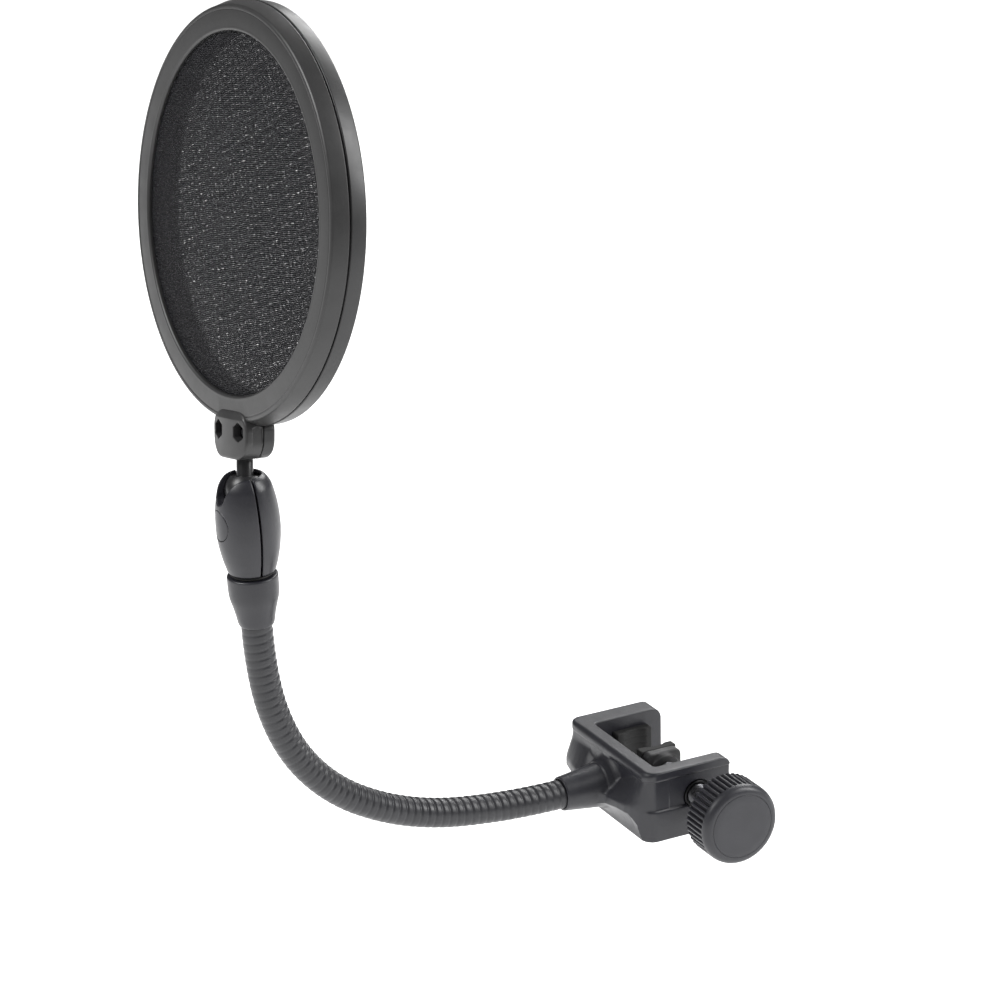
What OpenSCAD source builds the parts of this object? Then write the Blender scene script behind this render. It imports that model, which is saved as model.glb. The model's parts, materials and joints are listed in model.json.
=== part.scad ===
// Double-screen pop filter on a gooseneck arm with a C-clamp.
// +Z runs up along the gripped pole, +X along the clamp screw towards the knob,
// +Y out of the clamp's open side. The origin is on the pole's axis, at the clamp's mid-height.

/* [Pop screen] */
// Widest diameter of the hoop, at the seam between its two shells
hoop_d = 133.6; // [124:0.2:150]
// Diameter of the open window inside the hoop
window_d = 113.8; // [90:0.2:116]
// Height of the front shell, from the seam to its face
front_h = 5.6; // [4.6:0.1:7]
// Height of the rear shell, from the seam to its face
rear_h = 6; // [4.6:0.1:7]
// Gap between the two mesh screens
mesh_gap = 3; // [2:0.1:3.4]
// Width of the tab under the hoop
tab_w = 22.4; // [20:0.2:30]
// How far the tab reaches below the hoop
tab_drop = 10; // [9:0.5:14]

/* [Ball joint] */
// Diameter of the ball
ball_d = 13; // [12:0.1:13.4]
// Diameter of the stem between ball and tab
stem_d = 5.4; // [4.6:0.1:5.6]
// Distance from the ball's centre to the tab
stem_reach = 10.4; // [10:0.1:16]
// Largest diameter of the clamshell socket
socket_d = 20.9; // [19:0.1:22]
// Length of the clamshell socket
socket_l = 32.7; // [31:0.1:34]
// Lean of the screen: back, sideways and round
head_lean = [-8, -10, 5.5];

/* [Gooseneck] */
// Outer diameter of the sleeve
neck_d = 10; // [9.4:0.1:10]
// Visible length from the boss to the collar
neck_l = 159; // [140:1:240]
// Bend of each of the eight lengths, in degrees
neck_bends = [4, 5, 11, 12, 17, 18, 14, 7];

/* [Clamp] */
// Diameter of the pole that the clamp is shown gripping
pole_d = 15.9; // [14:0.1:20]
// Height of the C-shaped body along the pole
clamp_h = 26; // [24:0.5:34]
// Depth of the body, from its back to the tips of the arms
clamp_depth = 33.4; // [32:0.2:40]
// Opening between the arms
jaw_gap = 42; // [40:0.5:50]
// Thickness of the spine that joins the arms
spine_t = 6; // [5.6:0.1:8]
// Diameter of the clamp screw
screw_d = 7.9; // [6:0.1:8]
// Diameter of the knob over its ribs
knob_d = 28.8; // [25:0.1:34]
// Number of grooves round the knob
knob_grooves = 46; // [24:1:52]

/* [Hidden] */
$fn = 64;
fit = 0.05;                     // radial clearance of running and push fits
run_gap = 0.06;                 // clearance round the ball and the swivel

// Hoop, in its own frame: Z is its axis, 0 is the seam, +Z is the front
hoop_r = hoop_d / 2;
window_r = window_d / 2;
seat_r = window_r + 3;          // wall that the screens and their spacer sit in
mesh_t = 0.4;
seat_h = mesh_gap / 2 + mesh_t;
front_draft = 1.5;              // how much the side walls draw in
rear_draft = 0.4;
front_edge_r = 1.1;
rear_edge_r = 0.7;
lip_r = 0.9;
hoop_rise = stem_reach + tab_drop + hoop_r;
hoop_back = 0.9;                // the seam lies this far behind the stem's axis

// Tab and its fasteners, at the same height as the hoop's rim
tab_r = 6.4;
tab_crown = 1.5;                // how far the tab's face stands proud
crown_r = 60;
tab_rear_t = 4.5;               // thickness of the rear half of the tab
bolt_x = 6.5;
bolt_z = hoop_rise - hoop_r - 1.1;
bolt_r = 1.25;
nut_r = 3;
nut_t = 2;
nut_floor = 2.4;                // depth of the nut's seat in front of the seam
head_r = 2.3;
head_t = 1.7;
stem_top = stem_reach + 7.5;

// Top of the gooseneck and everything on it: Z runs up the socket's axis
ball_r = ball_d / 2;
stem_r = stem_d / 2;
ball_z = 48;
collar_z0 = 2;
collar_z2 = 19.4;
washer_z = [19.4, 20.4];
socket_z0 = 20.6;
socket_z1 = socket_z0 + socket_l;
socket_mid = 36.7;
socket_r = socket_d / 2;
socket_curve = 0.0105;          // radius lost per square millimetre from the middle
slit = 0.65;
clamp_bolt_z = ball_z - 9.9;
cap_r = 5.05;
cap_y = 7.4;
spigot_r = 3.8;
flange_r = 5.2;
flange_z = [24, 26.2];
spigot_top = 29;
ferrule_r = 6;
collar_bore_z = 7.5;
washer_r = 7.1;

// Gooseneck
neck_r = neck_d / 2;
core_r = 3.5;
sleeve_bore_r = core_r + fit;
link_ball_r = 2.9;
link_dish_r = 3.15;
link_stem_r = 2.2;
core_cut = 1.2;                 // core stops this far short of each flex point
sleeve_cut = 1.1;               // and so does the sleeve
sleeve_tuck = 4.2;              // how far the sleeve runs up inside the collar
neck_n = len(neck_bends);
link_l = neck_l / neck_n;

// Clamp body
pole_r = pole_d / 2;
pad_t = 2.35;                   // rubber left between pole and arm
arm_l_x = -pole_r - pad_t;      // inner face of the fixed arm
arm_r_x = arm_l_x + jaw_gap;    // inner face of the screw arm
arm_l_t = 8.4;
arm_r_t = 5.6;
body_x0 = arm_l_x - arm_l_t;
body_x1 = arm_r_x + arm_r_t;
body_y1 = 13;
body_y0 = body_y1 - clamp_depth;
spine_y = body_y0 + spine_t;
body_r = 4;
rim_h = 3.4;                    // rim that stands proud along the top
web_cut = 1;                    // depth of the panels under the rim
ledge_z = -1.6;                 // top of the ledge round the middle
fin_t = 2.7;
boss_x = (body_x0 + body_x1) / 2;
boss_z = -0.7;
boss_l = 18.5;
boss_end = body_y0 - boss_l;
boss_tip_r = 6;
boss_root_r = 7.6;
boss_mouth = 4;
ferrule_l = 10.5;

// Clamp screw and foot
screw_z = 1.2;                  // height of the screw's axis above the body's middle
grip_half = 34;                 // half angle that each channel wraps round the pole
grip_y = pole_r * sin(grip_half);
grip_x = pole_r * cos(grip_half);
pad_y = 14;
pad_z = 16;
foot_x0 = pole_r + 2.25;
foot_x1 = foot_x0 + 4.8;
tip_r = 2.6;
clip_r = 4.3;
screw_r = screw_d / 2;
insert_r = 5.2;
insert_flange_r = 6.6;
insert_flange_t = 1;
knob_x0 = body_x1 + 14.7;
knob_l = 14;
knob_x1 = knob_x0 + knob_l;
knob_r = knob_d / 2;
knob_band = 3.2;                // smooth shoulder in front of the grooves
hex_x0 = knob_x0 + 5;
hex_t = 5.6;
hex_r = 7.4;
knob_cap_t = 1.6;
knob_cap_r = knob_r - 3;

// ---- helpers ----

// Points of an arc round [x, y] from angle a0 to a1
function arc(x, y, r, a0, a1, n = 6) =
    [for (i = [0:n]) [x + r * cos(a0 + (a1 - a0) * i / n), y + r * sin(a0 + (a1 - a0) * i / n)]];

// Heading of the gooseneck after k lengths, 0 = level along -Y, 90 = straight up
function heading(k) = k <= 0 ? 0 : heading(k - 1) + neck_bends[k - 1];
function chord(k) = link_l * sin(neck_bends[k] / 2) / (neck_bends[k] / 2 * PI / 180);
function chord_angle(k) = heading(k) + neck_bends[k] / 2;
function bend_radius(k) = link_l / (neck_bends[k] * PI / 180);
// [y, z] of flex point k
function flex_point(k) = k <= 0 ? [boss_end, boss_z]
    : flex_point(k - 1) + chord(k - 1) * [-cos(chord_angle(k - 1)), sin(chord_angle(k - 1))];

// A frame at flex point k, with -Y along the gooseneck
module at_flex(k) {
    translate([boss_x, flex_point(k)[0], flex_point(k)[1]])
        rotate([-heading(k), 0, 0])
            children();
}

// The frame on top of the gooseneck, with Z along the socket
module at_top() {
    at_flex(neck_n)
        rotate([90, 0, 0])
            children();
}

// The frame of the screen, with its origin at the ball's centre
module at_head() {
    at_top()
        translate([0, 0, ball_z])
            rotate([heading(neck_n) - 90, 0, 0])
                rotate(head_lean)
                    children();
}

// The frame of the hoop: +Z out of the front, 0 at the seam
module at_hoop() {
    at_head()
        translate([0, hoop_back, hoop_rise])
            rotate([90, 0, 0])
                children();
}

// A cylinder along +X from x0 to x1
module rod_x(r, x0, x1, sides = 64) {
    translate([x0, 0, 0])
        rotate([0, 90, 0])
            cylinder(r = r, h = x1 - x0, $fn = sides);
}

// The frame of the clamp screw, with its axis along X
module at_screw() {
    translate([0, 0, screw_z])
        children();
}

// A cylinder along +Y from y0 to y1
module rod_y(r, y0, y1, sides = 64) {
    translate([0, y1, 0])
        rotate([90, 0, 0])
            cylinder(r = r, h = y1 - y0, $fn = sides);
}

// A box between two corners
module block(a, b) {
    translate(a)
        cube(b - a);
}

// A flat outline with rounded corners
module rounded(x0, x1, y0, y1, r) {
    translate([x0 + r, y0])
        square([x1 - x0 - 2 * r, y1 - y0]);
    translate([x0, y0 + r])
        square([x1 - x0, y1 - y0 - 2 * r]);
    for (x = [x0 + r, x1 - r], y = [y0 + r, y1 - r])
        translate([x, y])
            circle(r = r, $fn = 48);
}

// ---- pop screen ----

// One shell's ring: face height, draw-in of the side wall, radius of its outer edge
module shell_ring(h, draft, edge_r) {
    side_r = hoop_r - draft;
    rotate_extrude($fn = 180)
        polygon(concat(
            [[seat_r, 0], [hoop_r - 0.35, 0], [hoop_r, 0.35]],
            arc(side_r - edge_r, h - edge_r, edge_r, 8, 90),
            arc(window_r + lip_r, h - lip_r, lip_r, 90, 180),
            [[window_r, seat_h], [seat_r, seat_h]]
        ));
}

// Flat plate of one half of the tab
module tab_plate(h) {
    linear_extrude(height = h)
        rounded(-tab_w / 2, tab_w / 2, -hoop_r - tab_drop, -seat_r - 2, tab_r);
}

// The front half of the tab, with its face crowned sideways
module crowned_tab(h) {
    intersection() {
        tab_plate(h + tab_crown);
        union() {
            tab_plate(h - 1);
            translate([0, -seat_r, h + tab_crown - crown_r])
                rotate([90, 0, 0])
                    cylinder(r = crown_r, h = tab_drop + 10, $fn = 180);
        }
    }
}

// Bore of the stem and the seat of its collar, in the hoop's frame
module stem_bore() {
    translate([0, -hoop_rise, hoop_back])
        rotate([-90, 0, 0]) {
            cylinder(r = stem_r + fit, h = stem_top + fit);
            translate([0, 0, stem_reach + 4])
                cylinder(r = stem_r + 1.3 + fit, h = 2);
        }
}

module front_hoop() {
    color("#2b2b28")
        at_hoop()
            difference() {
                union() {
                    shell_ring(front_h, front_draft, front_edge_r);
                    crowned_tab(front_h);
                }
                stem_bore();
                cylinder(r = seat_r, h = seat_h, $fn = 180);
                for (x = [-bolt_x, bolt_x])
                    translate([x, bolt_z - hoop_rise, 0]) {
                        translate([0, 0, -1])
                            cylinder(r = bolt_r + 0.1, h = front_h + 4);
                        translate([0, 0, nut_floor])
                            rotate([0, 0, 30])
                                cylinder(r = nut_r + 0.15, h = front_h, $fn = 6);
                    }
            }
}

module rear_hoop() {
    color("#222222")
        at_hoop()
            rotate([0, 180, 0])
                difference() {
                    union() {
                        shell_ring(rear_h, rear_draft, rear_edge_r);
                        tab_plate(tab_rear_t);
                    }
                    stem_bore();
                    cylinder(r = seat_r, h = seat_h, $fn = 180);
                    for (x = [-bolt_x, bolt_x])
                        translate([x, bolt_z - hoop_rise, 0]) {
                            translate([0, 0, -1])
                                cylinder(r = bolt_r + 0.1, h = rear_h + 4);
                            translate([0, 0, tab_rear_t - head_t - 0.4])
                                cylinder(r = head_r + 0.2, h = 6);
                        }
                }
}

module mesh_screen() {
    cylinder(r = seat_r - 0.2, h = mesh_t, $fn = 120);
}

module front_mesh() {
    color("#3a3a3c")
        at_hoop()
            translate([0, 0, mesh_gap / 2])
                mesh_screen();
}

module rear_mesh() {
    color("#3a3a3c")
        at_hoop()
            translate([0, 0, -mesh_gap / 2 - mesh_t])
                mesh_screen();
}

module mesh_spacer() {
    color("#2a2a2a")
        at_hoop()
            rotate_extrude($fn = 180)
                translate([window_r + 0.3, -mesh_gap / 2])
                    square([seat_r - fit - window_r - 0.3, mesh_gap]);
}

module tab_screws() {
    color("#55565a")
        at_hoop()
            for (x = [-bolt_x, bolt_x])
                translate([x, bolt_z - hoop_rise, 0])
                    difference() {
                        union() {
                            translate([0, 0, head_t - tab_rear_t])
                                cylinder(r = bolt_r, h = tab_rear_t - head_t + nut_floor + nut_t + 0.4);
                            translate([0, 0, 0.4 - tab_rear_t])
                                cylinder(r = head_r, h = head_t);
                        }
                        for (a = [0, 90])
                            rotate([0, 0, a])
                                block([-1.5, -0.3, -tab_rear_t], [1.5, 0.3, 1.3 - tab_rear_t]);
                    }
}

module tab_nuts() {
    color("#707278")
        at_hoop()
            for (x = [-bolt_x, bolt_x])
                translate([x, bolt_z - hoop_rise, nut_floor])
                    rotate([0, 0, 30])
                        difference() {
                            cylinder(r = nut_r, h = nut_t, $fn = 6);
                            translate([0, 0, -1])
                                cylinder(r = bolt_r + 0.02, h = nut_t + 2);
                        }
}

module stem() {
    color("#1d1d1e")
        at_head() {
            translate([0, 0, -4.3])
                cylinder(r = stem_r, h = stem_top + 4.3);
            translate([0, 0, stem_reach + 4 + fit])
                cylinder(r = stem_r + 1.3, h = 2 - 2 * fit);
        }
}

// ---- ball joint ----

module ball() {
    color("#1a1a1b")
        at_head()
            difference() {
                sphere(r = ball_r, $fn = 96);
                translate([0, 0, -4.6])
                    cylinder(r = stem_r + fit, h = 20);
                // flat round the stem
                translate([-10, -10, 4.7])
                    cube(20);
            }
}

// Radius of the socket's outside at height z
function socket_radius(z) = socket_r - socket_curve * pow(z - socket_mid, 2);

module socket_outside(grow = 0) {
    steps = 16;
    rotate_extrude($fn = 96)
        polygon(concat(
            [[0, socket_z0], [socket_radius(socket_z0) - 0.5, socket_z0]],
            [for (i = [1:steps - 2]) let (z = socket_z0 + socket_l * i / steps)
                [socket_radius(z) + grow, z]],
            [[8.2, socket_z1 - 3], [7.65, socket_z1 - 1.9], [6.75, socket_z1 - 0.6],
             [5.9, socket_z1], [0, socket_z1]]
        ));
}

// Everything that is hollow inside the two socket halves
module socket_hollow() {
    translate([0, 0, ball_z])
        sphere(r = ball_r + run_gap, $fn = 96);
    translate([0, 0, ball_z + 4.1])
        cylinder(r1 = 4.9, r2 = 5.65, h = 2);
    translate([0, 0, socket_z0 - 1])
        cylinder(r = spigot_r + run_gap, h = spigot_top - socket_z0 + 1.4);
    translate([0, 0, flange_z[0] - 0.1])
        cylinder(r = flange_r + run_gap, h = flange_z[1] - flange_z[0] + 0.2);
    translate([0, 0, clamp_bolt_z])
        rod_y(2.1, -20, 20);
}

module socket_front() {
    notch_r = 2.95;
    color("#2c2d2f")
        at_top()
            difference() {
                intersection() {
                    socket_outside();
                    block([-20, -20, 0], [20, -slit / 2, 60]);
                }
                socket_hollow();
                translate([0, 0, ball_z]) {
                    rod_y(notch_r, -20, 0);
                    rotate([90, 0, 0])
                        linear_extrude(height = 20)
                            polygon([[-notch_r, 0], [notch_r, 0], [notch_r + 2.3, 6], [-notch_r - 2.3, 6]]);
                }
                translate([0, 0, clamp_bolt_z]) {
                    rod_y(cap_r + fit, -20, -cap_y);
                    rod_y(3.9, -20, -4.4);
                }
            }
}

module socket_rear() {
    color("#2c2d2f")
        at_top()
            difference() {
                intersection() {
                    socket_outside();
                    block([-20, slit / 2, 0], [20, 20, 60]);
                }
                socket_hollow();
                translate([0, 0, clamp_bolt_z])
                    rod_y(4.15, 4.4, 20, 6);
            }
}

module socket_cap() {
    color("#303133")
        at_top()
            intersection() {
                socket_outside(0.15);
                translate([0, 0, clamp_bolt_z])
                    rod_y(cap_r, -20, -cap_y);
            }
}

module socket_screw() {
    color("#6a6c70")
        at_top()
            translate([0, 0, clamp_bolt_z]) {
                rod_y(2, -5, 8.2);
                difference() {
                    rod_y(3.7, -7.2, -4.4);
                    rod_y(1.75, -8, -5.6, 6);
                }
            }
}

module socket_nut() {
    color("#7a7c80")
        at_top()
            translate([0, 0, clamp_bolt_z])
                difference() {
                    rod_y(4.02, 4.4, 7.6, 6);
                    rod_y(2.02, 4, 8);
                }
}

module swivel_washer() {
    color("#101010")
        at_top()
            rotate_extrude($fn = 72)
                translate([spigot_r + fit, washer_z[0]])
                    square([washer_r - spigot_r - fit, washer_z[1] - washer_z[0]]);
}

module collar() {
    tip_wall = neck_r + 0.2;
    color("#28292b")
        at_top()
            rotate_extrude($fn = 96)
                polygon(concat(
                    [[tip_wall, collar_z0], [5.85, collar_z0], [6.05, collar_z0 + 0.5],
                     [6.6, 5.9], [7.25, 8.7], [8.1, 11.5], [8.35, 12.8]],
                    arc(7.75, collar_z2 - 0.6, 0.6, 0, 90, 4),
                    [[ferrule_r + fit, collar_z2], [ferrule_r + fit, collar_bore_z],
                     [tip_wall, collar_bore_z]]
                ));
}

module upper_ferrule() {
    color("#8b8d91")
        at_top()
            difference() {
                union() {
                    translate([0, 0, collar_bore_z])
                        cylinder(r = ferrule_r, h = collar_z2 - collar_bore_z);
                    translate([0, 0, collar_z2 - 1])
                        cylinder(r = spigot_r, h = spigot_top - collar_z2 + 1);
                    translate([0, 0, flange_z[0]])
                        cylinder(r = flange_r, h = flange_z[1] - flange_z[0]);
                }
                translate([0, 0, -1])
                    cylinder(r = sleeve_bore_r, h = 15);
            }
}

// ---- gooseneck ----

// A bent tube or bar along length k of the gooseneck, cut0 and cut1 short of its ends
module bent(k, cut0, cut1) {
    radius = bend_radius(k);
    a0 = cut0 / radius * 180 / PI;
    a1 = cut1 / radius * 180 / PI;
    at_flex(k)
        translate([0, 0, radius])
            rotate([0, 0, 180])
                rotate([0, 90, 0])
                    rotate([0, 0, a0])
                        rotate_extrude(angle = neck_bends[k] - a0 - a1, $fn = 72)
                            translate([radius, 0])
                                children();
}

module neck_core(k) {
    first = k == 0;
    last = k == neck_n - 1;
    color("#77797d")
        difference() {
            union() {
                bent(k, first ? 0 : core_cut, last ? 0 : core_cut)
                    circle(r = core_r, $fn = 48);
                if (first)
                    at_flex(0)
                        rod_y(core_r, 0, ferrule_l + 1.5);
                if (last)
                    at_top()
                        translate([0, 0, -0.5])
                            cylinder(r = core_r - 0.02, h = 13.5);
                if (!last)
                    at_flex(k + 1) {
                        rod_y(link_stem_r, 0, core_cut + 0.5);
                        sphere(r = link_ball_r, $fn = 48);
                    }
            }
            if (!first)
                at_flex(k)
                    sphere(r = link_dish_r, $fn = 48);
        }
}

module neck_sleeve(k) {
    first = k == 0;
    last = k == neck_n - 1;
    color("#262728") {
        bent(k, first ? 0 : sleeve_cut, last ? -sleeve_tuck : sleeve_cut)
            difference() {
                circle(r = neck_r, $fn = 48);
                circle(r = sleeve_bore_r, $fn = 48);
            }
        if (first)
            at_flex(0)
                difference() {
                    rod_y(neck_r, 0, boss_mouth - 0.2);
                    rod_y(sleeve_bore_r, -1, boss_mouth);
                }
    }
}

module lower_ferrule() {
    color("#8b8d91")
        translate([boss_x, boss_end, boss_z])
            difference() {
                rod_y(neck_r, boss_mouth, boss_mouth + ferrule_l);
                rod_y(sleeve_bore_r, boss_mouth - 1, boss_mouth + ferrule_l - 1.5);
            }
}

// ---- clamp ----

// Outline of the C seen from above, drawn in by inset on its outer sides
module c_outline(inset) {
    difference() {
        rounded(body_x0 + inset, body_x1 - inset, body_y0 + inset, body_y1 - inset / 2, body_r - inset / 2);
        rounded(arm_l_x, arm_r_x, spine_y, body_y1 + 10, 1.5);
    }
}

module boss_cone() {
    flare = 3.2;
    translate([boss_x, body_y0, boss_z])
        rotate([90, 0, 0])
            rotate_extrude($fn = 96)
                polygon([
                    [0, -spine_t + 0.5], [boss_root_r + flare, -spine_t + 0.5],
                    [boss_root_r + flare, 0], [boss_root_r + 1.4, 1.2],
                    [boss_root_r + 0.4, 3.2], [boss_root_r, 6],
                    [boss_tip_r + 0.2, boss_l - 0.8], [boss_tip_r - 0.2, boss_l], [0, boss_l]
                ]);
}

// Fin that runs from the boss to both corners of the spine, thinning away above and below
module fin() {
    intersection() {
        translate([0, 0, -clamp_h / 2 + 0.2])
            linear_extrude(height = clamp_h - rim_h)
                polygon([
                    [body_x0 + 1.2, body_y0 + 4], [body_x0 + 0.3, body_y0 - 1],
                    [body_x0 + 1.3, body_y0 - 2.1],
                    [boss_x - 20, body_y0 - 3.6], [boss_x - 15, body_y0 - 4.5], [boss_x - 9, body_y0 - 5.5],
                    [boss_x - 4, body_y0 - 6.5], [boss_x + 4, body_y0 - 6.5], [boss_x + 9, body_y0 - 5.6],
                    [boss_x + 15, body_y0 - 4.8], [boss_x + 20, body_y0 - 4.1],
                    [boss_x + 24.5, body_y0 - 2.4],
                    [body_x1 - 1.4, body_y0 + 0.4], [body_x1 - 1.2, body_y0 + 4]
                ]);
        translate([body_x0 - 1, body_y0, 0])
            rotate([90, 0, 90])
                linear_extrude(height = body_x1 - body_x0 + 2)
                    polygon([
                        [5, 9.4], [0.9, 9.4], [-7, -0.3], [-7, -3.2], [-2.6, -5], [-0.6, -8.4],
                        [0.4, -12.6], [5, -12.6]
                    ]);
    }
}

module clamp_body() {
    half = clamp_h / 2;
    panel_top = half - rim_h;
    color("#2a2b2d")
        difference() {
            union() {
                translate([0, 0, -half])
                    linear_extrude(height = half + ledge_z)
                        c_outline(0);
                translate([0, 0, ledge_z - 0.5])
                    linear_extrude(height = panel_top - ledge_z + 1)
                        c_outline(web_cut);
                translate([0, 0, panel_top])
                    linear_extrude(height = rim_h - 1)
                        c_outline(0);
                translate([0, 0, half - 1.2])
                    linear_extrude(height = 1.2)
                        c_outline(0.9);
                boss_cone();
                fin();
            }
            // bore for the gooseneck's end
            translate([boss_x, boss_end, boss_z]) {
                rod_y(neck_r + fit, 1, boss_mouth + ferrule_l);
                rod_y(neck_r + 0.3, -1, boss_mouth);
            }
            // bore for the threaded insert
            at_screw()
                rod_x(insert_r + fit, arm_r_x - 1, body_x1 + 1);
        }
}

// A pad with a round channel for the pole, reaching back to x = back
module grip_pad(back) {
    difference() {
        block([grip_x, -pad_y / 2, -pad_z / 2], [back, pad_y / 2, pad_z / 2]);
        translate([0, 0, -pad_z])
            cylinder(r = pole_r, h = 2 * pad_z, $fn = 96);
    }
}

module jaw_pad() {
    color("#151515")
        mirror([1, 0, 0])
            grip_pad(-arm_l_x);
}

module foot_pad() {
    color("#151515")
        grip_pad(foot_x0);
}

module pressure_foot() {
    color("#232425")
        difference() {
            union() {
                translate([foot_x0, 0, 0])
                    rotate([90, 0, 90])
                        linear_extrude(height = foot_x1 - foot_x0 - 1.2)
                            rounded(-pad_y / 2, pad_y / 2, -pad_z / 2, pad_z / 2, 2);
                at_screw()
                    rod_x(6, foot_x0 + 1, foot_x1);
            }
            at_screw() {
                rod_x(tip_r + fit, foot_x0 - 1, foot_x1 + 1);
                rod_x(clip_r + 0.3, foot_x0 - 1, foot_x0 + 3);
            }
        }
}

module foot_clip() {
    color("#8a8c90")
        at_screw()
            difference() {
                rod_x(clip_r, foot_x0 + 1.8, foot_x0 + 2.7);
                rod_x(tip_r, foot_x0, foot_x0 + 4);
                block([foot_x0, -1.4, -6], [foot_x0 + 4, 1.4, 0]);
            }
}

module thread_insert() {
    color("#3a3b3d")
        at_screw()
            difference() {
                union() {
                    rod_x(insert_r, arm_r_x - 0.5, body_x1);
                    rod_x(insert_flange_r, arm_r_x - insert_flange_t, arm_r_x);
                }
                rod_x(screw_r + fit, arm_r_x - 5, body_x1 + 5);
            }
}

module clamp_screw() {
    color("#85878b")
        at_screw()
            union() {
                rod_x(tip_r, foot_x0 + 0.6, foot_x1 + 1);
                rod_x(screw_r, foot_x1 + 0.3, hex_x0 + 1);
                rod_x(hex_r, hex_x0, hex_x0 + hex_t, 6);
            }
}

module knob() {
    body_end = knob_x1 - knob_band;
    color("#26272a")
        at_screw()
            difference() {
                union() {
                    difference() {
                        rod_x(knob_r - 0.1, knob_x0, body_end + 0.2, 96);
                        for (i = [0:knob_grooves - 1])
                            rotate([i * 360 / knob_grooves, 0, 0])
                                block([knob_x0 - 1, -0.48, knob_r - 0.85], [body_end, 0.48, knob_r + 1]);
                    }
                    rotate([90, 0, 90])
                        rotate_extrude($fn = 96)
                            polygon(concat(
                                [[0, body_end], [knob_r, body_end]],
                                arc(knob_r - 2.9, knob_x1 - 2.9, 2.9, 0, 82),
                                [[0, knob_x1 - 0.1]]
                            ));
                }
                rod_x(screw_r + fit, knob_x0 - 1, hex_x0 + 1);
                rod_x(hex_r + fit, hex_x0, knob_x1 + 1, 6);
                rod_x(knob_cap_r + fit, knob_x1 - knob_cap_t, knob_x1 + 1);
            }
}

module knob_cap() {
    color("#2e2f32")
        at_screw()
            union() {
                rod_x(knob_cap_r, knob_x1 - knob_cap_t, knob_x1 - 0.4);
                rod_x(knob_cap_r - 0.5, knob_x1 - 0.8, knob_x1);
            }
}

front_hoop();
rear_hoop();
front_mesh();
rear_mesh();
mesh_spacer();
tab_screws();
tab_nuts();
stem();
ball();
socket_front();
socket_rear();
socket_screw();
socket_nut();
socket_cap();
swivel_washer();
collar();
upper_ferrule();
neck_core(0);  // neck_core_1
neck_core(1);  // neck_core_2
neck_core(2);  // neck_core_3
neck_core(3);  // neck_core_4
neck_core(4);  // neck_core_5
neck_core(5);  // neck_core_6
neck_core(6);  // neck_core_7
neck_core(7);  // neck_core_8
neck_sleeve(0);  // neck_sleeve_1
neck_sleeve(1);  // neck_sleeve_2
neck_sleeve(2);  // neck_sleeve_3
neck_sleeve(3);  // neck_sleeve_4
neck_sleeve(4);  // neck_sleeve_5
neck_sleeve(5);  // neck_sleeve_6
neck_sleeve(6);  // neck_sleeve_7
neck_sleeve(7);  // neck_sleeve_8
lower_ferrule();
clamp_body();
jaw_pad();
thread_insert();
pressure_foot();
foot_pad();
foot_clip();
clamp_screw();
knob();
knob_cap();
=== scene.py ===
import json
import math
import bmesh
import bpy
import numpy as np
from mathutils import Matrix, Vector


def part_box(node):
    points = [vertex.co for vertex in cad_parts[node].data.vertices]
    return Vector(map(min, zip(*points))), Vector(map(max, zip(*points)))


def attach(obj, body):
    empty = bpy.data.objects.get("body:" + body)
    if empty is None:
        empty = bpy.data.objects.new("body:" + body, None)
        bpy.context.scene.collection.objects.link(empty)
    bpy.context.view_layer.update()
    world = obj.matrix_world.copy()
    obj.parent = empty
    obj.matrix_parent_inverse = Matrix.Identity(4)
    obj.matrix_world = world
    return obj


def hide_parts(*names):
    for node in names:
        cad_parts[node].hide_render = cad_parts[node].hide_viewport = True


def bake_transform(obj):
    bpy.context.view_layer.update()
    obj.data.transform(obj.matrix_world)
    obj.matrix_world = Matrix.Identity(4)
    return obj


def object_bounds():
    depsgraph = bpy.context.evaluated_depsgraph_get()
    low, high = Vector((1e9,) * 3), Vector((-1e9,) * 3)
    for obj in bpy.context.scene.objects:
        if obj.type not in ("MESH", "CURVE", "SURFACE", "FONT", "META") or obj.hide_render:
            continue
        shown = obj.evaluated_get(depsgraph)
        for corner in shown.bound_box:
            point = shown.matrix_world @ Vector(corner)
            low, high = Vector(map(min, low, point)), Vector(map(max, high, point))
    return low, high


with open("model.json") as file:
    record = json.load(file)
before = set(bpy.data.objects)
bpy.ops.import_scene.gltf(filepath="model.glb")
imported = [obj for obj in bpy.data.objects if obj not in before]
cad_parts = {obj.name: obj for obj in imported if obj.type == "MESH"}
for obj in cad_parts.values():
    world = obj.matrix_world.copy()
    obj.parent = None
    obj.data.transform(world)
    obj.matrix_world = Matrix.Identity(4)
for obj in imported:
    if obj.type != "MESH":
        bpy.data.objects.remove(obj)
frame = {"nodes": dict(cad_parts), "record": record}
CAD_LO, CAD_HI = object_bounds()
CAD_LO, CAD_HI = list(CAD_LO), list(CAD_HI)
REC = frame["record"]
JOINT = {j["name"]: j for j in REC["behaviour"]["joints"]}


def V(p):
    return np.array(p, float)


def mm(p):
    return V(p) * 1000.0


def box_mm(node):
    lo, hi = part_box(node)
    return mm(lo), mm(hi)


def unit(v):
    return v / np.linalg.norm(v)


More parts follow.
